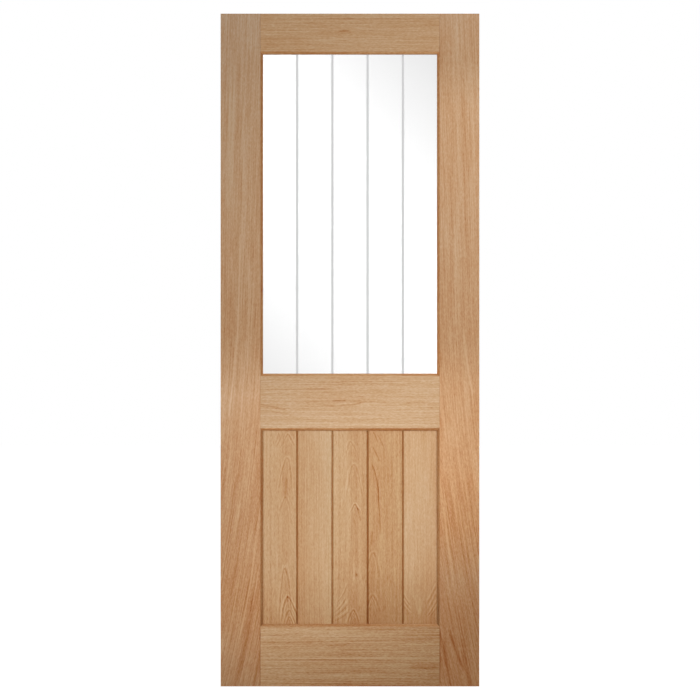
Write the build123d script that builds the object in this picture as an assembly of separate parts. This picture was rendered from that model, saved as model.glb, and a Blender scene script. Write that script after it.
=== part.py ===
# A half-glazed, boarded door leaf in engineered oak, in millimetres.
# X runs from the hinge edge to the lock edge, Y from the front face to the back face, and Z up.
# The origin is on the hinge edge, at the bottom of the leaf and halfway through its thickness.
import os

from build123d import *

# Leaf
leaf_width = 762.0
leaf_height = 1981.0
leaf_thickness = 35.0
lipping_thickness = 8.0  # solid oak strip glued to each long outer edge
outer_arris = 1.5  # radius that eases the leaf's four long outer edges

# Stiles and rails, by the width of their faces
stile_width = 117.5
top_rail_height = 112.0
lock_rail_height = 154.0
bottom_rail_height = 176.0
panel_opening_height = 584.0  # the glazed opening takes the height that is left
inner_arris = 0.8  # chamfer that eases the frame's edges round both openings

# Stub tenons that join the rails to the stiles
tenon_thickness = 12.0
tenon_length = 40.0
tenon_shoulder = 16.0  # step from a rail's long edge to its tenon
mortise_clearance = 0.2
mortise_end_gap = 1.5

# Bevelled beads that hold the glass and the panel, on both faces of the leaf
bead_width = 7.0
bead_setback = 0.5  # the bead stands this much below the frame's face
bead_flat = 0.6  # level strip beside the frame, before the bevel falls away
bevel_depth = 6.0

# Boarded panel
board_count = 5
board_thickness = 15.0
v_chamfer = 3.4  # edges of the boards, so two of them meet in a V
board_joint_gap = 0.2
tongue_thickness = 4.0
tongue_length = 6.0
tongue_clearance = 0.2
panel_edge_gap = 2.0  # room for the panel to swell inside the frame
field_clearance = 0.3  # between a bead and the raised face of a board

# Glass pane, etched with lines that carry on the joints of the boards
glass_thickness = 4.0
glass_edge_gap = 3.0
etched_line_width = 5.5
etched_line_depth = 0.3

# Places worked out from the sizes above
half_thickness = leaf_thickness / 2
opening_left = stile_width
opening_right = leaf_width - stile_width
panel_bottom = bottom_rail_height
panel_top = panel_bottom + panel_opening_height
glazing_bottom = panel_top + lock_rail_height
glazing_top = leaf_height - top_rail_height
rail_spans = {
    "bottom_rail": (0, panel_bottom),
    "lock_rail": (panel_top, glazing_bottom),
    "top_rail": (glazing_top, leaf_height),
}
sight_left = opening_left + bead_width
sight_right = opening_right - bead_width
boards_left = opening_left + bead_width / 2  # the outer boards run half under their beads
board_pitch = (opening_right - opening_left - bead_width) / board_count
panel_edge_thickness = board_thickness - 2 * v_chamfer


def block(x_span, y_span, z_span):
    """A plain block between two corners."""
    size = [high - low for low, high in (x_span, y_span, z_span)]
    return Pos(x_span[0], y_span[0], z_span[0]) * Box(*size, align=(Align.MIN,) * 3)


def upright(points, z_span):
    """A plan outline carried straight up between two heights."""
    outline = Pos(0, 0, z_span[0]) * Polygon(*points, align=None)
    return extrude(outline, amount=z_span[1] - z_span[0], dir=(0, 0, 1))


def joint_line(index):
    """Where the joint after this many boards stands, from the hinge edge."""
    return boards_left + index * board_pitch


def across(width):
    """A span of this width, centred on the middle of the leaf's thickness."""
    return (-width / 2, width / 2)


def other_side(piece):
    """The same piece for the lock side of the leaf."""
    return mirror(piece, about=Plane.YZ.offset(leaf_width / 2))


def hinge_stile():
    """Upright of the frame, mortised for the three rails."""
    body = block((lipping_thickness, stile_width), across(leaf_thickness), (0, leaf_height))
    inner_edges = body.edges().filter_by(Axis.Z).sort_by(Axis.X)[-2:]
    body = chamfer(inner_edges, inner_arris)
    mortise_bottom = stile_width - tenon_length - mortise_end_gap
    for low, high in rail_spans.values():
        body -= block(
            (mortise_bottom, stile_width),
            across(tenon_thickness + 2 * mortise_clearance),
            (low + tenon_shoulder - mortise_clearance, high - tenon_shoulder + mortise_clearance),
        )
    return body


def hinge_lipping():
    """Solid strip along the outer edge, with its two outer arrises rounded."""
    body = block((0, lipping_thickness), across(leaf_thickness), (0, leaf_height))
    outer_edges = body.edges().filter_by(Axis.Z).sort_by(Axis.X)[:2]
    return fillet(outer_edges, outer_arris)


def rail(low, high):
    """Cross member between the stiles, eased where it faces an opening, with a stub tenon at each end."""
    body = block((opening_left, opening_right), across(leaf_thickness), (low, high))
    long_edges = body.edges().filter_by(Axis.X)
    eased = [edge for edge in long_edges if 0 < edge.center().Z < leaf_height]
    body = chamfer(eased, inner_arris)
    tenons = block(
        (opening_left - tenon_length, opening_right + tenon_length),
        across(tenon_thickness),
        (low + tenon_shoulder, high - tenon_shoulder),
    )
    return body + tenons


def bead(run, depth):
    """A bevelled bead along X, mitred at both ends, standing on the frame at Z = 0 with its face towards -Y."""
    section = Plane.YZ * Polygon(
        (bead_setback, 0),
        (bead_setback, bead_flat),
        (bead_setback + bevel_depth, bead_width),
        (depth, bead_width),
        (depth, 0),
        align=None,
    )
    mitred = Plane.XZ * Polygon(
        (0, 0), (run, 0), (run - bead_width, bead_width), (bead_width, bead_width), align=None
    )
    return extrude(section, amount=run, dir=(1, 0, 0)) & extrude(mitred, amount=depth, dir=(0, 1, 0))


def bead_ring(what, low, high, held_thickness):
    """The four front and four back beads round one opening, by name."""
    depth = half_thickness - held_thickness / 2
    width, height = opening_right - opening_left, high - low
    sides = {
        "bottom": (width, 0, opening_left, low),
        "lock_side": (height, -90, opening_right, low),
        "top": (width, 180, opening_right, high),
        "hinge_side": (height, 90, opening_left, high),
    }
    ring = {}
    for side, (run, turn, x, z) in sides.items():
        front = Pos(x, -half_thickness, z) * Rot(0, turn, 0) * bead(run, depth)
        ring[f"front_{what}_bead_{side}"] = front
        ring[f"back_{what}_bead_{side}"] = mirror(front, about=Plane.XZ)
    return ring


def panel_board(index):
    """One tongued and grooved board: a thin core that runs under the beads, and a raised face on each side."""
    first, last = index == 0, index == board_count - 1
    joint = board_joint_gap / 2
    face_left = sight_left + field_clearance if first else joint_line(index) + joint
    face_right = sight_right - field_clearance if last else joint_line(index + 1) - joint
    core_left = opening_left + panel_edge_gap if first else face_left
    core_right = opening_right - panel_edge_gap if last else face_right
    core_span = (panel_bottom + panel_edge_gap, panel_top - panel_edge_gap)
    face_inset = bead_width + field_clearance
    face_span = (panel_bottom + face_inset, panel_top - face_inset)

    board = block((core_left, core_right), across(panel_edge_thickness), core_span)
    left_slope = 0 if first else v_chamfer  # square against a bead
    right_slope = 0 if last else v_chamfer
    for side in (-1, 1):
        inner, outer = side * panel_edge_thickness / 2, side * board_thickness / 2
        board += upright(
            [
                (face_left, inner),
                (face_left + left_slope, outer),
                (face_right - right_slope, outer),
                (face_right, inner),
            ],
            face_span,
        )
    if not last:
        board += block((face_right, face_right + tongue_length), across(tongue_thickness), core_span)
    if not first:
        groove_end = face_left + tongue_length - board_joint_gap + tongue_clearance
        groove_width = tongue_thickness + 2 * tongue_clearance
        board -= block((face_left, groove_end), across(groove_width), core_span)
    return board


def glass_pane():
    """Clear sheet with shallow etched lines on its front."""
    pane = block(
        (opening_left + glass_edge_gap, opening_right - glass_edge_gap),
        across(glass_thickness),
        (glazing_bottom + glass_edge_gap, glazing_top - glass_edge_gap),
    )
    front = -glass_thickness / 2
    for line in range(1, board_count):
        centre = joint_line(line)
        pane -= block(
            (centre - etched_line_width / 2, centre + etched_line_width / 2),
            (front, front + etched_line_depth),
            (glazing_bottom, glazing_top),
        )
    return pane


def door_leaf():
    """Every piece of the leaf, by name."""
    nodes = {
        "hinge_stile": hinge_stile(),
        "hinge_lipping": hinge_lipping(),
        "lock_stile": other_side(hinge_stile()),
        "lock_lipping": other_side(hinge_lipping()),
        "glass_pane": glass_pane(),
    }
    for name, (low, high) in rail_spans.items():
        nodes[name] = rail(low, high)
    for index in range(board_count):
        nodes[f"panel_board_{index + 1}"] = panel_board(index)
    nodes |= bead_ring("glazing", glazing_bottom, glazing_top, glass_thickness)
    nodes |= bead_ring("panel", panel_bottom, panel_top, panel_edge_thickness)
    return nodes


os.makedirs("parts", exist_ok=True)
for node, shape in door_leaf().items():
    export_step(shape, f"parts/{node}.step")
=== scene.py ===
import bpy
import numpy as np
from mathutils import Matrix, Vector


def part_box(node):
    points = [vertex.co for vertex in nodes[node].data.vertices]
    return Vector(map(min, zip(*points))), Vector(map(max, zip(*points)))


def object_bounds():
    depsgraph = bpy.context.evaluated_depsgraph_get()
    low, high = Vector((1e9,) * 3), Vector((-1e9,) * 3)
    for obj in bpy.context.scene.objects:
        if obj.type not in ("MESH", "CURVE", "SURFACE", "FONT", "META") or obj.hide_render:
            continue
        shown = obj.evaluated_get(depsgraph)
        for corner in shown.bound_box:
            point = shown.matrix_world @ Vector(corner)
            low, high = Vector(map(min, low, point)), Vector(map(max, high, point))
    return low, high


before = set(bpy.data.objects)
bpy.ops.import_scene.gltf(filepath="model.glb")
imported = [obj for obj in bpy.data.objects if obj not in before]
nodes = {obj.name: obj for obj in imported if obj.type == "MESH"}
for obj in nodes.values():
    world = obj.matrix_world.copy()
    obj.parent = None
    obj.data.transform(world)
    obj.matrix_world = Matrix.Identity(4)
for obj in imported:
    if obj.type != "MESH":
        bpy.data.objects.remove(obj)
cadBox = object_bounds()
frontFace = cadBox[0][1] * 1000  # where the leaf's front lies, mm
print("frame loaded:", len(nodes), "pieces")


# node trees, written as sums
class Value:
    # an output socket; Python arithmetic on it adds Math nodes
    def __init__(self, shop, socket):
        self.shop, self.socket = shop, socket

    def maths(self, operation, *values):
        return self.shop.add("ShaderNodeMath", {"operation": operation}, dict(enumerate(values)))

    def __add__(self, other):
        return self.maths("ADD", self, other)

    def __sub__(self, other):
        return self.maths("SUBTRACT", self, other)

    def __rsub__(self, other):
        return self.maths("SUBTRACT", other, self)

    def __mul__(self, other):
        return self.maths("MULTIPLY", self, other)

    def __truediv__(self, other):
        return self.maths("DIVIDE", self, other)

    def __rtruediv__(self, other):
        return self.maths("DIVIDE", other, self)

    __radd__ = __add__
    __rmul__ = __mul__

    def exp(self):
        return self.maths("EXPONENT", self)

    def size(self):
        return self.maths("ABSOLUTE", self)

    def root(self):
        return self.maths("SQRT", self)

    def cos(self):
        return self.maths("COSINE", self)

    def part(self):
        return self.maths("FRACT", self)

    def whole(self):
        return self.maths("FLOOR", self)

    def atLeast(self, low):
        return self.maths("MAXIMUM", self, low)

    def atMost(self, high):
        return self.maths("MINIMUM", self, high)

    def bell(self, middle, reach):  # 1 at the middle, falling away over the reach
        off = self - middle
        return (off * off * (-1 / reach ** 2)).exp()

    def rise(self, low, high):  # smooth step from 0 at low to 1 at high, which may lie either way
        return self.shop.add("ShaderNodeMapRange", {"interpolation_type": "SMOOTHSTEP"},
                             {"Value": self, "From Min": low, "From Max": high})

    def between(self, low, high, soft):  # 1 from low to high, with soft ends
        half = (high - low) / 2
        return (self - (low + half)).size().rise(half + soft, half - soft)

    def output(self, name):
        return Value(self.shop, self.socket.node.outputs[name])


class Shop:
    # a node tree, and the one method that adds any node to it
    def __init__(self, owner):
        owner.use_nodes = True
        self.owner, self.tree = owner, owner.node_tree
        self.tree.nodes.clear()

    def add(self, kind, settings=None, sockets=None, output=0):
        node = self.tree.nodes.new(kind)
        for name, setting in (settings or {}).items():
            if name == "stops":
                ramp = node.color_ramp
                while len(ramp.elements) < len(setting):
                    ramp.elements.new(0.5)
                for element, (place, colour) in zip(ramp.elements, setting):
                    element.position, element.color = place, colour
            else:
                setattr(node, name, setting)
        for name, value in (sockets or {}).items():
            if isinstance(value, Value):
                self.tree.links.new(value.socket, node.inputs[name])
            else:
                node.inputs[name].default_value = value
        return Value(self, node.outputs[output]) if node.outputs else None

    def placeMm(self):  # object coordinates in millimetres
        coords = self.add("ShaderNodeTexCoord", output="Object")
        parts = self.add("ShaderNodeSeparateXYZ", None, {0: coords})
        return [parts.output(axis) * 1000 for axis in "XYZ"]

    def noise(self, a, b, c, detail, roughness):
        place = self.add("ShaderNodeCombineXYZ", None, {0: a, 1: b, 2: c})
        return self.add("ShaderNodeTexNoise", None,
                        {"Vector": place, "Scale": 1.0, "Detail": detail, "Roughness": roughness})

    def blend(self, factor, a, b, kind="MIX"):  # two colours through a Mix node
        return self.add("ShaderNodeMix", {"data_type": "RGBA", "blend_type": kind, "clamp_factor": True},
                        {0: factor, 6: a, 7: b}, output=2)

    def seen(self):  # 1 for what the camera sees, straight or by way of gloss or glass
        ray = self.add("ShaderNodeLightPath", output="Is Camera Ray")
        return (ray + ray.output("Is Glossy Ray") + ray.output("Is Transmission Ray")).atMost(1)

    def surface(self, shader):
        self.add("ShaderNodeOutputMaterial", None, {"Surface": shader})
        return self.owner


def newShop(name):
    return Shop(bpy.data.materials.new(name))


def linear(red, green, blue):
    # screen colour, 0 to 255, as the linear numbers a socket takes
    share = np.array([red, green, blue]) / 255
    flat = np.where(share <= 0.04045, share / 12.92, ((share + 0.055) / 1.055) ** 2.4)
    return (*flat.tolist(), 1.0)


# oak
oakColours = {
    "pale": linear(226, 195, 157),
    "ground": linear(214, 171, 128),
    "grain": linear(198, 142, 90),
    "deep": linear(170, 95, 40),
    "pore": linear(164, 90, 36),
}

oakDefaults = {
    "grain": "up",  # which way the fibres run: up or across
    "heart": 0.0,  # where the middle of the tree lies across the grain, mm
    "depth": 60.0,  # and how far behind the face, mm
    "middle": 0.0,  # place along the grain that lean and dive turn about
    "lean": 0.0,  # sideways run of the heart, mm per mm
    "dive": 0.0,  # change of its depth, mm per mm
    "sweep": (0.0, 0.0),  # (start, mm per mm squared): the heart curves away below the start
    "ringGap": 6.0,
    "wander": 4.0,  # how far the rings stray, mm
    "figure": 0.45,  # strength of the ring lines
    "halo": 0.0,  # and of the pale line before each
    "broken": 1.0,  # how far those lines are broken up
    "speck": 1.15,  # short flecked figure
    "fleck": 0.0,  # sparse dark flecks
    "fibre": 0.75,  # thin fibres
    "band": 0.70,  # bands along the grain
    "bandSize": (6.0, 260.0),  # their width and length, mm
    "paleLine": 0.14,  # thin pale lines along the grain
    "slant": (0.0, 0.0),  # (middle, change of shade per mm): slow change across the grain
    "base": 0.27,
    "knots": (),  # (across, along, radius)
    "marks": (),  # strokes: (across, along, to across, to along, bow, width, strength), pale where below 0
    "arches": (),  # lines nested below a top: (across, along, steep, curve, lean, reach, gap, count, strength)
    "tones": ((0.0, 0.0, 1.0), (1.0, 0.0, 1.0)),  # (share of the length, depth of tone, lightness): the wood's own tone along its length together with painted light and shade
    "tint": (1.0, 1.0, 1.0),
    "endGrain": 0.45,  # extra depth of tone where the fibres end
    "ends": 0.15,  # and on the faces close by
    "seed": 0.0,
    "groove": None,  # (face, floor, shade depth, dim): painted shade, deeper and dimmer, between these distances from the middle plane, where a groove lies
    "rough": 0.46,
}

grainNoise = {  # noise drawn out along the grain: width and length in mm, shift, detail, roughness
    "drift": (90, 420, 0.0, 2.0, 0.5),
    "ripple": (16, 70, 7.1, 2.0, 0.5),
    "speck": (2.0, 8.5, 1.3, 2.0, 0.6),
    "dash": (2.6, 22, 4.4, 2.0, 0.6),
    "fibre": (0.9, 55, 2.2, 3.0, 0.6),
    "paleLine": (1.8, 200, 6.6, 1.0, 0.5),
    "fleck": (2.2, 18, 5.2, 1.0, 0.5),
    "pore": (0.35, 7, 8.8, 1.0, 0.5),
}
archTop = 6.0  # how round the top of an arch is, mm squared


def treeRings(look, along, across, y):
    # distance from the heart of the tree, which leans, sweeps and dives behind the face
    heart = (along - look["middle"]) * look["lean"] + look["heart"]
    start, curve = look["sweep"]
    if curve:
        below = (start - along).atLeast(0)
        heart = heart + below * below * curve
    depth = (along - look["middle"]) * look["dive"] + y + (look["depth"] - frontFace)
    for knotAcross, knotAlong, radius in look["knots"]:
        depth = depth + across.bell(knotAcross, radius * 3) * along.bell(knotAlong, radius * 7) * (radius * 2.2)
    off = across - heart
    return off, (off * off + depth * depth).root()


def strokes(marks, along, across):
    # each mark is a line between two places, bowed sideways and fading at its ends
    total = 0.0
    for across0, along0, across1, along1, bow, width, strength in marks:
        share = (along - along0) * (1 / (along1 - along0))
        centre = share * (across1 - across0) + across0
        if bow:
            centre = centre + share * (1 - share) * (4 * bow)
        total = across.bell(centre, width) * share.between(0.0, 1.0, 0.12) * strength + total
    return total


def archLines(arches, along, across):
    # each arch falls away on either side of its top, straight and then ever steeper
    # a cosine of the distance inside it, counted in gaps, gives the lines
    total = 0.0
    for top, height, steep, curve, lean, reach, gap, count, strength in arches:
        below = height - along
        off = across - top - below * lean
        aside = off * off
        far = (aside + archTop).root()
        miss = below - (far - archTop ** 0.5) * steep - aside * curve
        slope = off * (steep / far + 2 * curve)
        turn = miss / (slope * slope + 1).root() * (1 / gap)  # 0 on the first arch, 1 on the next
        lines = (turn * (2 * np.pi)).cos() * turn.between(-0.6, count - 0.4, 0.15)
        total = lines * below.size().rise(reach, reach * 0.5) * strength + total
    return total


def oakFinish(name, span, **changes):
    # rings are distances from the heart of a tree; fibres, specks, pores and pale lines lie along them
    look = {**oakDefaults, **changes}
    shop = newShop(name)
    x, y, z = shop.placeMm()
    along, across = (z, x) if look["grain"] == "up" else (x, z)
    seed = look["seed"]
    off, radius = treeRings(look, along, across, y)

    def streaks(width, length, shift, detail, roughness):
        return shop.noise(off * (1 / width) + seed, y * (1 / width), along * (1 / length) + shift,
                          detail, roughness)

    kinds = ("drift", "ripple", "speck", "dash", "fibre")
    drift, ripple, speck, dash, fibre = (streaks(*grainNoise[kind]) for kind in kinds)
    band = streaks(*look["bandSize"], 3.3, 2.0, 0.5)
    cloud = shop.noise(across * 0.017, y * 0.017 + seed, along * 0.005 + 9.7, 2.0, 0.5)
    paleLine = streaks(*grainNoise["paleLine"]).rise(0.58, 0.74)
    fleck = streaks(*grainNoise["fleck"]).rise(0.58, 0.76)
    uneven = dash * 1.2 + 0.4  # so that no line is the same all along

    stray = (drift - 0.5) * (look["wander"] * 2) + (ripple - 0.5) * (look["wander"] * 0.5)
    phase = (radius + stray) * (1 / look["ringGap"]) + (dash - 0.5) * 0.5 + seed
    turn = phase.part()
    strength = shop.add("ShaderNodeTexWhiteNoise", {"noise_dimensions": "1D"}, {"W": phase.whole()})
    gaps = dash.rise(0.30, 0.72) * (1.6 * look["broken"]) + (1 - look["broken"])
    rings = (turn * 5).atMost(1) * (1.1 - turn * 1.6).atLeast(0) * (strength * 0.9 + 0.1) * gaps
    lights = turn.between(0.72, 0.94, 0.10) * (strength * 0.7 + 0.3) * gaps

    pore = streaks(*grainNoise["pore"]).rise(0.58, 0.70) * (rings * 0.8 + 0.25)
    shade = ((rings - lights * look["halo"]) * look["figure"] + (speck - 0.5) * look["speck"]
             + (fibre - 0.5) * look["fibre"] + (band - 0.5) * look["band"] + (cloud - 0.5) * 0.25
             - paleLine * look["paleLine"] + fleck * look["fleck"] + look["base"])
    middle, change = look["slant"]
    if change:
        shade = shade + (across - middle) * change
    if look["marks"]:
        shade = shade + strokes(look["marks"], along, across) * uneven
    if look["arches"]:
        shaken = across + (ripple - 0.5) * 9 + (dash - 0.5) * 3
        shade = shade + archLines(look["arches"], along, shaken) * uneven * (ripple * 2)
    for knotAcross, knotAlong, knotRadius in look["knots"]:
        shade = shade + across.bell(knotAcross, knotRadius) * along.bell(knotAlong, knotRadius * 1.7) * 0.6

    colour = shop.add("ShaderNodeValToRGB", {"stops": [
        (0.0, oakColours["pale"]), (0.34, oakColours["ground"]),
        (0.72, oakColours["grain"]), (1.0, oakColours["deep"])]}, {"Fac": shade})
    colour = shop.blend(pore * 0.4, colour, oakColours["pore"])

    low, high = span
    # a ramp holds 0 to 1, so the tone is kept 0.2 higher and the lightness halved; the stops carry painted light
    # and shade along the piece as well as its own tone
    stops = [(share, (tone + 0.2, light / 2, 0.0, 1.0)) for share, tone, light in look["tones"]]
    tones = shop.add("ShaderNodeValToRGB", {"stops": stops}, {"Fac": (along - low) * (1 / (high - low))})
    tones = shop.add("ShaderNodeSeparateColor", None, {0: tones})
    deepen, lighten = tones + 0.8, tones.output("Green") * 2
    facing = shop.add("ShaderNodeNewGeometry", output="Normal")
    facing = shop.add("ShaderNodeSeparateXYZ", None, {0: facing}).output("Z" if look["grain"] == "up" else "X")
    deepen = deepen + facing.size().rise(0.80, 0.98) * look["endGrain"]
    half = (high - low) / 2
    deepen = deepen + (along - (low + half)).size().rise(half - 5, half - 1) * look["ends"]
    # painted shade in the grooves: colour deeper and dimmer below the face
    if look["groove"]:
        face, floor, grooveShadeDepth, dim = look["groove"]
        inside = y.size().rise(face, floor)
        deepen = deepen + inside * grooveShadeDepth
        lighten = lighten * (1 - inside * dim)
    colour = shop.add("ShaderNodeGamma", None, {"Color": colour, "Gamma": deepen})
    lighten = shop.add("ShaderNodeCombineColor", None, dict(enumerate(lighten * share for share in look["tint"])))
    colour = shop.blend(1.0, colour, lighten, "MULTIPLY")

    height = rings * -0.25 + fibre * 0.25 - pore * 0.6
    bump = shop.add("ShaderNodeBump", None, {"Strength": 0.03, "Distance": 0.0006, "Height": height},
                    output="Normal")
    rough = rings * 0.06 + pore * 0.15 + (fibre - 0.5) * 0.10 + look["rough"]
    return shop.surface(shop.add("ShaderNodeBsdfPrincipled", None, {
        "Base Color": colour, "Roughness": rough, "Specular IOR Level": 0.2, "Normal": bump}))


def spanMm(node, axis):
    low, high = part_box(node)
    return low[axis] * 1000, high[axis] * 1000


def dress(node, material):
    mesh = nodes[node].data
    mesh.materials.clear()
    mesh.materials.append(material)


# stiles
stileLook = {"ringGap": 6.2, "figure": 0.30, "band": 0.75, "depth": 90.0, "speck": 0.95, "paleLine": 0.26,
             "tint": (1.03, 0.985, 0.985)}
# the tone stops of each stile hold painted light and shade as well as the wood's own tone: darker and richer
# towards the foot, lighter where the light pools
stileLooks = {
    "hinge": {
        "heart": -150.0, "lean": 0.03, "middle": 1140.0, "sweep": (1140.0, -9e-05), "seed": 1.7,
        "tones": (
            (0.0, 0.21, 0.98), (0.055, 0.2, 1.02), (0.125, 0.49, 1.01), (0.2, 0.25, 0.98),
            (0.27, 0.24, 0.96), (0.37, 0.17, 0.99), (0.43, -0.05, 1.05), (0.51, 0.12, 0.96),
            (0.63, 0.04, 0.99), (0.93, -0.08, 0.92), (1.0, -0.18, 0.94),
        ),
        "marks": (
            (66.0, 1930.0, 64.0, 1150.0, 0.0, 8.0, -0.12), (40.0, 1880.0, 36.0, 1500.0, 0.0, 3.0, -0.16),
            (53.0, 1870.0, 60.0, 1430.0, 0.0, 6.0, 0.15), (26.0, 1880.0, 30.0, 1480.0, 0.0, 7.0, -0.12),
            (85.5, 1870.0, 84.0, 1640.0, 0.0, 7.0, 0.12), (31.0, 1200.0, 25.0, 1030.0, 0.0, 2.8, 0.16),
            (42.0, 1200.0, 38.0, 1050.0, 0.0, 2.4, 0.16), (71.0, 1290.0, 62.0, 1080.0, 0.0, 2.6, 0.12),
            (57.0, 1326.0, 49.0, 1020.0, 1.0, 2.6, -0.3), (49.0, 1032.0, 23.0, 796.0, 2.0, 2.8, -0.32),
            (84.0, 1250.0, 78.0, 930.0, 1.0, 2.4, -0.24), (102.0, 425.0, 55.0, 142.0, 6.0, 2.6, -0.3),
            (94.0, 262.0, 58.0, 36.0, 4.0, 5.0, 0.28), (78.0, 195.0, 45.0, 2.0, 3.0, 5.0, 0.22),
            (113.0, 107.0, 98.0, 2.0, 1.0, 4.0, 0.22), (116.0, 174.0, 116.0, 4.0, 0.0, 1.8, 0.3),
        ),
    },
    "lock": {
        "heart": 912.0, "lean": -0.03, "middle": 1140.0, "sweep": (1140.0, 9e-05), "seed": 4.2,
        "tones": (
            (0.0, 0.48, 0.92), (0.07, 0.55, 0.83), (0.16, 0.23, 0.86), (0.24, 0.46, 1.05),
            (0.31, 0.21, 1.11), (0.38, 0.19, 1.07), (0.44, 0.13, 1.04), (0.51, 0.2, 0.89),
            (0.68, 0.01, 0.92), (0.86, 0.04, 1.03), (0.93, 0.05, 0.91), (1.0, -0.09, 0.97),
        ),
        "marks": (
            (700.0, 1930.0, 704.0, 1200.0, 0.0, 7.0, -0.08),
            (690.0, 1340.0, 693.0, 1060.0, 0.0, 2.4, -0.22), (713.0, 1850.0, 717.0, 1460.0, 0.0, 5.0, 0.1),
            (743.0, 1880.0, 745.0, 1400.0, 0.0, 7.0, -0.06),
            (678.0, 1580.0, 680.0, 1220.0, 0.0, 9.0, 0.05),
            (716.0, 1044.0, 740.0, 867.0, -2.0, 2.6, -0.32), (658.0, 555.0, 694.0, 248.0, -5.0, 2.6, -0.3),
            (676.0, 160.0, 714.0, 54.0, -3.0, 4.0, 0.34), (658.0, 136.0, 676.0, 2.0, -2.0, 4.5, 0.28),
            (711.0, 136.0, 740.0, 2.0, -2.0, 5.0, 0.24), (646.0, 174.0, 646.0, 4.0, 0.0, 1.8, 0.3),
        ),
    },
}
for side, look in stileLooks.items():
    stileOak = oakFinish(f"{side} stile oak", spanMm(f"{side}_stile", 2), **stileLook, **look)
    dress(f"{side}_stile", stileOak)
    dress(f"{side}_lipping", stileOak)

# rails
railLook = {"grain": "across", "middle": 381.0, "bandSize": (3.6, 300.0), "band": 0.75, "fleck": 0.22,
            "paleLine": 0.20}
# the tone stops of each rail hold painted light and shade as well as the wood's own tone: the bottom rail darker
# towards the lock side
railLooks = {
    "top_rail": {
        "heart": 1990.0, "depth": 60.0, "dive": 0.004, "figure": 0.24, "ringGap": 5.0, "seed": 2.3,
        "speck": 0.85,
        "tones": ((0.0, 0.1, 1.1), (1.0, 0.01, 1.01)),
        "marks": (
            (1930.0, 350.0, 1930.0, 378.0, 0.0, 1.8, 0.4), (1936.0, 325.0, 1935.0, 405.0, 2.0, 1.5, 0.12),
            (1901.0, 340.0, 1901.0, 375.0, 0.0, 1.5, 0.18), (1908.0, 118.0, 1908.0, 330.0, 0.0, 1.8, 0.18),
        ),
    },
    "lock_rail": {
        "heart": 700.0, "depth": 60.0, "dive": 0.012, "figure": 0.24, "band": 0.64, "speck": 1.0,
        "ringGap": 5.6, "seed": 5.9,
        "tones": ((0.0, -0.03, 0.98), (1.0, -0.01, 1.0)),
        "marks": (
            (829.0, 300.0, 836.0, 420.0, -5.0, 2.0, 0.42), (841.0, 330.0, 843.0, 368.0, 0.0, 1.8, 0.26),
            (831.0, 112.0, 814.0, 190.0, 1.0, 2.0, 0.26), (814.0, 112.0, 802.0, 200.0, 1.0, 2.0, 0.24),
            (833.0, 540.0, 838.0, 606.0, 0.0, 4.0, 0.18), (874.0, 118.0, 876.0, 330.0, 0.0, 1.8, 0.26),
            (769.0, 118.0, 770.0, 640.0, 0.0, 2.2, -0.2),
        ),
    },
    "bottom_rail": {
        "heart": -90.0, "depth": 70.0, "figure": 0.4, "ringGap": 5.4, "band": 1.0, "seed": 8.1,
        "tint": (1.01, 1.02, 1.0),
        "tones": ((0.0, 0.05, 1.05), (0.35, 0.1, 0.99), (1.0, 0.25, 0.83)),
        "marks": (
            (127.0, 110.0, 139.0, 652.0, 0.0, 1.8, 0.32), (121.0, 318.0, 123.0, 372.0, 0.0, 2.0, 0.24),
            (83.0, 110.0, 83.0, 652.0, 0.0, 1.8, -0.3), (78.0, 110.0, 78.0, 652.0, 0.0, 2.0, 0.16),
            (60.0, 560.0, 58.0, 640.0, 0.0, 9.0, 0.22), (6.0, 100.0, 6.0, 660.0, 0.0, 13.0, 0.12),
            (1.0, 90.0, 1.0, 672.0, 0.0, 2.0, 0.3),
        ),
    },
}
for rail, look in railLooks.items():
    dress(rail, oakFinish(rail.replace("_", " ") + " oak", spanMm(rail, 0), **{**railLook, **look}))
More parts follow.
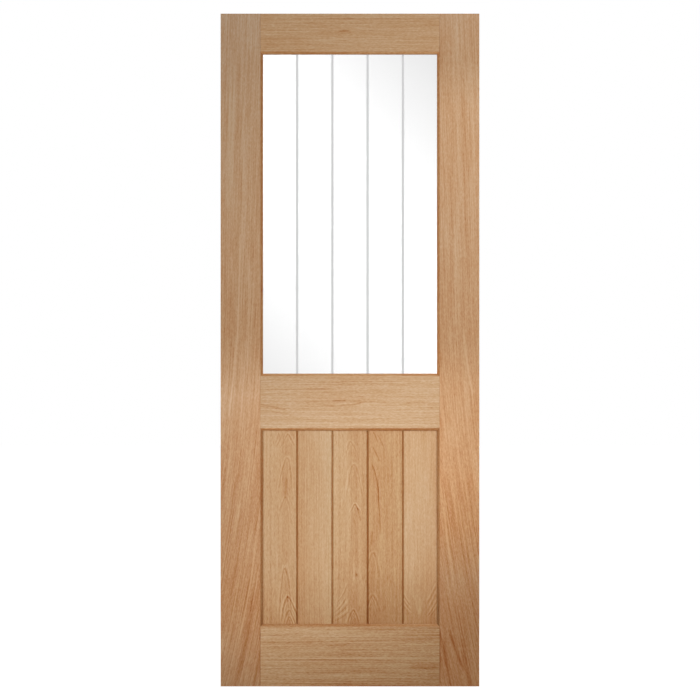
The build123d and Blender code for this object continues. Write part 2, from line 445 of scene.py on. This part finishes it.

# boards
# the groove numbers paint shade into the V-grooves between the boards
boardLook = {"middle": 470.0, "groove": (7.4, 6.6, 0.56, 0.12), "figure": 0.30, "halo": 0.30, "broken": 0.7,
             "ringGap": 6.5, "depth": 60.0, "wander": 3.0, "band": 0.34, "bandSize": (5.0, 160.0), "speck": 0.78,
             "fibre": 0.55, "fleck": 0.24, "tint": (1.0, 1.0, 0.97)}
# the tone stops of each board hold painted light and shade as well as the wood's own tone: darker and richer
# towards the foot
boardLooks = {
    "panel_board_1": {
        "heart": 193.0, "slant": (173.0, 0.0014), "figure": 0.26, "seed": 0.4,
        "tones": (
            (0.0, 0.32, 0.98), (0.12, 0.17, 1.01), (0.3, 0.03, 0.98), (0.8, 0.05, 0.95), (1.0, 0.02, 0.96),
        ),
        "arches": (
            (198.7, 742.0, 1.6, 0.03, 0.0, 40.0, 9.0, 1, 0.22),
            (196.3, 672.0, 0.3, 0.25, -0.06, 130.0, 9.0, 1, 0.16),
            (191.6, 556.0, 1.5, 0.1, -0.05, 80.0, 9.0, 1, 0.15),
            (189.6, 346.0, 0.5, 0.4, 0.0, 170.0, 10.0, 1, 0.22),
            (196.9, 263.0, 1.3, 0.06, 0.12, 80.0, 10.0, 1, 0.36),
            (201.0, 223.0, 1.2, 0.08, 0.05, 60.0, 9.0, 1, 0.26),
            (202.0, 203.0, 1.2, 0.1, 0.05, 60.0, 9.0, 2, 0.24),
        ),
        "marks": (
            (171.0, 746.0, 162.0, 717.0, 1.0, 1.6, 0.3), (180.0, 741.0, 165.0, 707.0, 1.0, 1.6, 0.3),
            (188.0, 741.0, 177.0, 704.0, 1.0, 1.6, 0.24), (191.0, 612.0, 191.0, 556.0, 0.0, 5.0, 0.2),
            (197.0, 268.0, 197.5, 248.0, 0.0, 3.0, 0.32),
        ),
    },
    "panel_board_2": {
        "heart": 120.0, "slant": (277.0, -0.0024), "figure": 0.22, "speck": 0.74, "fleck": 0.1,
        "seed": 3.1,
        "tones": ((0.0, 0.24, 0.95), (0.3, 0.06, 0.99), (0.8, 0.02, 0.93), (1.0, -0.04, 0.94)),
    },
    "panel_board_3": {
        "heart": 392.0, "slant": (381.0, 0.0018), "figure": 0.25, "seed": 6.6,
        "knots": ((400.0, 328.0, 2.8),),
        "tones": ((0.0, 0.38, 0.91), (0.12, 0.19, 0.96), (0.3, 0.14, 0.99), (1.0, 0.02, 0.95)),
        "arches": (
            (383.0, 720.0, 1.8, 0.05, 0.1, 50.0, 9.0, 1, 0.14),
            (392.0, 652.0, 0.4, 0.18, 0.03, 120.0, 9.0, 1, 0.15),
            (396.0, 535.0, 1.6, 0.03, 0.04, 26.0, 9.0, 1, 0.26),
            (390.7, 224.0, 0.9, 0.1, 0.0, 50.0, 9.0, 3, 0.24),
        ),
        "marks": (
            (401.0, 527.0, 412.0, 488.0, 0.5, 2.0, 0.36), (392.0, 360.0, 387.5, 290.0, 2.0, 2.2, -0.2),
            (411.6, 347.0, 416.6, 300.0, -1.0, 2.2, -0.16), (370.0, 305.0, 347.0, 254.0, 3.5, 1.8, -0.26),
            (373.0, 298.0, 343.0, 246.0, 3.5, 1.8, 0.22), (367.0, 266.0, 341.0, 228.0, 3.5, 2.0, -0.26),
            (368.0, 258.0, 341.0, 221.0, 3.5, 2.0, 0.24), (369.0, 250.0, 342.0, 217.0, 3.5, 2.2, -0.26),
            (372.0, 240.0, 340.0, 208.0, 4.0, 2.4, 0.26), (374.0, 228.0, 338.0, 200.0, 4.0, 2.6, -0.26),
            (375.0, 218.0, 337.0, 192.0, 4.0, 2.8, 0.26),
        ),
    },
    "panel_board_4": {
        "heart": 470.0, "slant": (485.0, -0.0012), "seed": 9.2, "figure": 0.28,
        "tones": ((0.0, 0.45, 0.86), (0.3, 0.27, 0.98), (0.8, 0.22, 0.97), (1.0, 0.15, 0.98)),
        "arches": (
            (450.0, 392.0, 0.6, 0.15, -0.04, 90.0, 10.0, 1, 0.13),
            (448.0, 268.0, 1.0, 0.08, 0.0, 55.0, 10.0, 2, 0.17),
        ),
        "marks": (
            (449.0, 750.0, 464.0, 716.0, 1.0, 1.6, 0.3), (462.0, 741.0, 479.0, 706.0, 1.0, 1.6, 0.28),
            (449.0, 703.0, 467.0, 664.0, 1.0, 1.8, 0.34), (447.0, 652.0, 465.0, 548.0, 5.0, 2.2, 0.48),
            (463.0, 560.0, 471.0, 458.0, 1.0, 2.0, 0.32), (446.0, 455.0, 444.0, 418.0, 0.0, 2.8, 0.3),
        ),
    },
    "panel_board_5": {
        "heart": 500.0, "slant": (589.0, 0.0012), "figure": 0.14, "speck": 0.72, "fleck": 0.12,
        "seed": 12.8, "tint": (1.0, 1.0, 0.985),
        "tones": ((0.0, 0.48, 0.88), (0.3, 0.08, 1.0), (0.5, -0.02, 1.0), (1.0, 0.04, 1.01)),
        "marks": (
            (541.0, 275.0, 556.0, 247.0, -1.0, 1.8, -0.26), (541.0, 266.0, 557.0, 239.0, -1.0, 1.8, 0.2),
            (541.0, 257.0, 560.0, 231.0, -1.0, 1.8, -0.28), (541.0, 249.0, 560.0, 223.0, -1.0, 1.8, 0.2),
            (541.0, 242.0, 561.0, 217.0, -1.0, 1.8, -0.26), (541.0, 234.0, 557.0, 211.0, -1.0, 1.8, 0.2),
            (633.0, 303.0, 606.0, 250.0, 1.0, 1.8, -0.24), (634.0, 293.0, 610.0, 245.0, 1.0, 1.8, 0.2),
            (635.0, 284.0, 612.0, 236.0, 1.0, 1.8, -0.24), (635.0, 270.0, 611.0, 225.0, 1.0, 1.8, 0.2),
            (636.0, 257.0, 609.0, 211.0, 1.0, 1.8, -0.24), (636.0, 248.0, 612.0, 208.0, 1.0, 1.8, 0.2),
            (636.0, 240.0, 613.0, 205.0, 1.0, 1.8, -0.22), (636.0, 231.0, 615.0, 203.0, 1.0, 1.8, 0.2),
            (570.0, 272.0, 583.0, 214.0, 0.0, 4.0, -0.14), (599.0, 266.0, 585.0, 214.0, 0.0, 4.0, -0.14),
        ),
    },
}
for board, look in boardLooks.items():
    dress(board, oakFinish(board.replace("_", " ") + " oak", spanMm(board, 2), **{**boardLook, **look}))

# beads
beadLook = {"ringGap": 3.0, "figure": 0.30, "depth": 80.0, "heart": -200.0}
beadKnots = {"glazing_bead_hinge_side": ((124.0, 1164.0, 2.5),)}
beadToneAndShade = {  # stops of each bead, as for any piece of oak: a darker stain, with painted light and shade that differ from side to side as the light falls on each bevel, and darker towards the foot on the panel's side beads
    "glazing_bead_top": ((0.0, 0.50, 1.35), (1.0, 0.50, 1.35)),
    "glazing_bead_bottom": ((0.0, 0.30, 1.02), (1.0, 0.30, 1.02)),
    "glazing_bead_hinge_side": ((0.0, 0.68, 0.95), (1.0, 0.68, 0.95)),
    "glazing_bead_lock_side": ((0.0, 0.62, 1.30), (1.0, 0.62, 1.30)),
    "panel_bead_top": ((0.0, 0.62, 1.20), (1.0, 0.62, 1.20)),
    "panel_bead_bottom": ((0.0, 0.44, 0.94), (1.0, 0.44, 0.94)),
    "panel_bead_hinge_side": ((0.0, 0.80, 0.76), (0.1, 0.80, 0.78), (0.25, 0.75, 0.84), (1.0, 0.75, 0.84)),
    "panel_bead_lock_side": ((0.0, 0.62, 0.60), (0.08, 0.62, 0.66), (0.22, 0.62, 0.86), (1.0, 0.62, 0.90)),
}
for index, (bead, stops) in enumerate(beadToneAndShade.items()):
    upright = bead.endswith("_side")
    beadOak = oakFinish(bead.replace("_", " ") + " oak", spanMm(f"front_{bead}", 2 if upright else 0), **beadLook,
                        grain="up" if upright else "across", seed=20.0 + index * 1.37, tones=stops,
                        knots=beadKnots.get(bead, ()))
    dress(f"front_{bead}", beadOak)
    dress(f"back_{bead}", beadOak)
print("oak dressed")


# glass
glassLook = {"clear": (0.84, 0.84, 0.84, 1.0), "etched": (0.47, 0.47, 0.47, 1.0), "etchedRough": 0.55,
             "lineWidth": 6.4, "feather": 2.4, "panes": 5,
             "front": (1.2, 1.6)}  # distances before the middle plane between which the lines come in


def glassFinish(look):
    # clear sheet; the etched lines are told by the same spacing as the cuts in the pane
    shop = newShop("etched clear glass")
    x, y, z = shop.placeMm()
    left, right = (sum(spanMm(f"front_glazing_bead_{side}_side", 0)) / 2 for side in ("hinge", "lock"))
    pitch = (right - left) / look["panes"]
    steps = (x - left) * (1 / pitch)
    off = ((steps + 0.5).part() - 0.5).size() * pitch
    inner = (x - left - pitch / 2).rise(0, 1) * (right - pitch / 2 - x).rise(0, 1)
    front = (y * -1).rise(*look["front"])
    edge, feather = look["lineWidth"] / 2, look["feather"]
    line = off.rise(edge + feather, edge - feather) * inner * front
    colour = shop.blend(line, look["clear"], look["etched"])
    return shop.surface(shop.add("ShaderNodeBsdfPrincipled", None, {
        "Base Color": colour, "Roughness": line * look["etchedRough"] + 0.01, "IOR": 1.5,
        "Transmission Weight": 1.0}))


dress("glass_pane", glassFinish(glassLook))
print("glass dressed")


# stage
def addSheet(name, corners):
    mesh = bpy.data.meshes.new(name)
    mesh.from_pydata(np.asarray(corners).tolist(), [], [(0, 1, 2, 3)])
    sheet = bpy.data.objects.new(name, mesh)
    bpy.context.collection.objects.link(sheet)
    return sheet


floorLook = {"size": 60.0, "gap": 0.001, "bounce": 0.40, "shadow": 0.50, "glow": 0.86}


def makeFloor(look):
    # a level square, white to the camera, that keeps the door's shadow
    square = np.array([[-1, -1], [1, -1], [1, 1], [-1, 1]]) * look["size"] / 2
    low, high = np.array(cadBox)
    centre = (low + high) / 2
    floor = addSheet("floor", np.column_stack([square + centre[:2], np.full(4, low[2] - look["gap"])]))
    shop = newShop("white floor")
    matt = shop.add("ShaderNodeBsdfDiffuse", None, {"Color": (*[look["bounce"]] * 3, 1.0)})
    faint = shop.add("ShaderNodeBsdfDiffuse", None, {"Color": (*[look["shadow"]] * 3, 1.0)})
    glow = shop.add("ShaderNodeEmission", None, {"Color": (1.0, 1.0, 1.0, 1.0), "Strength": look["glow"]})
    white = shop.add("ShaderNodeAddShader", None, {0: faint, 1: glow})
    either = shop.add("ShaderNodeMixShader", None, {0: shop.seen(), 1: matt, 2: white})
    floor.data.materials.append(shop.surface(either))


worldLook = {"level": 0.30}  # light from all round, where the camera's own white isn't seen


def makeWorld(look):
    world = bpy.data.worlds.new("studio")
    bpy.context.scene.world = world
    shop = Shop(world)
    strength = shop.seen() * (1 - look["level"]) + look["level"]
    white = shop.add("ShaderNodeBackground", None, {"Color": (1.0, 1.0, 1.0, 1.0), "Strength": strength})
    shop.add("ShaderNodeOutputWorld", None, {"Surface": white})


lampLooks = {
    "left": {"at": (-1.78, -2.73, 1.69), "to": (0.14, 0.0, 1.12), "size": 0.8, "spread": 116.0, "watts": 5.6},
    "right": {"at": (1.81, -2.15, 1.85), "to": (0.81, 0.0, 1.21), "size": 0.8, "spread": 82.0, "watts": 7.7},
    "low": {"at": (0.0, -1.0, 0.43), "to": (0.36, 0.0, 0.51), "size": 0.8, "spread": 37.0, "watts": 0.7},
    "back": {"at": (1.3, 3.0, 1.7), "to": (0.40, 0.0, 0.90), "size": 1.2, "spread": 120.0, "watts": 21.0},
}


def aim(holder, at, to):
    holder.location = at
    holder.rotation_euler = (Vector(to) - Vector(at)).to_track_quat("-Z", "Y").to_euler()


def makeLamps(looks):
    for name, look in looks.items():
        lamp = bpy.data.lights.new(name, "AREA")
        lamp.size, lamp.energy, lamp.spread = look["size"], look["watts"], np.radians(look["spread"])
        holder = bpy.data.objects.new(name, lamp)
        bpy.context.collection.objects.link(holder)
        aim(holder, look["at"], look["to"])
        holder.visible_camera = holder.visible_glossy = holder.visible_transmission = False  # the pane shows none


cameraLook = {"distance": 12.0, "frameHeight": 2.0614, "sensor": 36.0, "farthest": 200.0}
sheenLook = {"behind": 0.3, "bright": 8.5, "margin": 0.25,
             "fades": (((1, 1), 0.61, 1.0), ((-1, -1), 0.51, 0.865))}  # corner, reach from it, depth


def makeSheen(look, lens):
    # a soft box behind the camera that only the pane mirrors, dimmer towards two opposite corners
    eye = np.array([(a + b) / 2 for a, b in zip(*cadBox)])
    pane = np.array(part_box("glass_pane"))
    gap = lens["distance"] + look["behind"]
    grow = 1 + gap / lens["distance"]
    low, high = (pane[:, [0, 2]] - eye[[0, 2]]) * grow + eye[[0, 2]]
    back = cadBox[0][1] - gap
    m = look["margin"]
    card = addSheet("sheen card", [(low[0] - m, back, low[1] - m), (low[0] - m, back, high[1] + m),
                                   (high[0] + m, back, high[1] + m), (high[0] + m, back, low[1] - m)])
    shop = newShop("sheen")
    x, y, z = shop.placeMm()
    bright = 1.0
    for (right, up), reach, fall in look["fades"]:
        corner = [(high if side > 0 else low)[axis] * 1000 for axis, side in enumerate((right, up))]
        off = ((corner[0] - x) * right).atLeast(0) + ((corner[1] - z) * up).atLeast(0)
        bright = ((off * (1 / (reach * grow * 1000))).atMost(1) * fall + (1 - fall)) * bright
    glow = shop.add("ShaderNodeEmission", None, {"Strength": bright * look["bright"]})
    card.data.materials.append(shop.surface(glow))
    card.visible_camera = card.visible_diffuse = card.visible_transmission = False
    card.visible_shadow = card.visible_volume_scatter = False


def makeCamera(look):
    # long lens straight at the middle of the front face, so that the frame takes in the given height there
    low, high = cadBox
    middle = [(a + b) / 2 for a, b in zip(low, high)]
    lens = bpy.data.cameras.new("camera")
    lens.sensor_width = look["sensor"]
    lens.lens = look["sensor"] * look["distance"] / look["frameHeight"]
    lens.clip_end = look["farthest"]
    holder = bpy.data.objects.new("camera", lens)
    bpy.context.collection.objects.link(holder)
    aim(holder, (middle[0], low[1] - look["distance"], middle[2]), (middle[0], low[1], middle[2]))
    bpy.context.scene.camera = holder


makeFloor(floorLook)
makeWorld(worldLook)
makeLamps(lampLooks)
makeCamera(cameraLook)
makeSheen(sheenLook, cameraLook)
bpy.context.scene.view_settings.view_transform = "Standard"
print("stage set")
